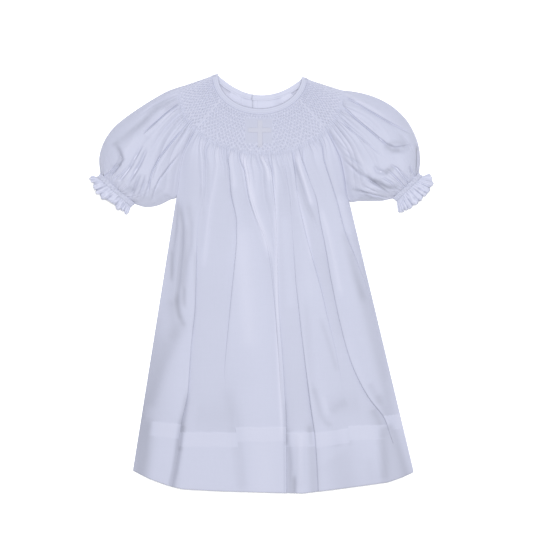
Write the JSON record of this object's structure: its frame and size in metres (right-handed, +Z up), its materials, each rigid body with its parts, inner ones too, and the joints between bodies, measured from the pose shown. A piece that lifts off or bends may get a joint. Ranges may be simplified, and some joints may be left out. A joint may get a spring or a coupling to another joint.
{
  "type": "toddler's smocked bishop dress",
  "caption": "Short-sleeved toddler's bishop dress in white cotton: smocked round yoke, bound neck, puff sleeves with ruffled cuffs, flared skirt, button-back placket; laid flat.",
  "frame": {"origin": "centre of the laid-out dress in plan, at the surface it lies on", "axes": "+Z up out of the front of the dress, +Y from hem to neck, +X towards the wearer's left sleeve"},
  "size_m": [0.4127, 0.5025, 0.0272],
  "materials": {
    "front": "matt plain-weave cotton",
    "back": "matt plain-weave cotton",
    "sleeve_right": "matt plain-weave cotton",
    "sleeve_left": "matt plain-weave cotton",
    "cuff_right": "matt plain-weave cotton",
    "cuff_left": "matt plain-weave cotton",
    "ruffle_right": "matt plain-weave cotton",
    "ruffle_left": "matt plain-weave cotton",
    "neck_binding": "matt plain-weave cotton",
    "placket_under": "matt plain-weave cotton",
    "placket_over": "matt plain-weave cotton",
    "button_top": "pearly, smooth",
    "button_middle": "pearly, smooth",
    "button_low": "pearly, smooth"
  },
  "bodies": {
    "root": {"front": "front", "back": "back", "sleeve_right": "sleeve_right", "sleeve_left": "sleeve_left", "cuff_right": "cuff_right", "cuff_left": "cuff_left", "ruffle_right": "ruffle_right", "ruffle_left": "ruffle_left", "neck_binding": "neck_binding", "placket_under": "placket_under", "placket_over": "placket_over", "button_top": "button_top", "button_middle": "button_middle", "button_low": "button_low"}
  },
  "joints": []
}
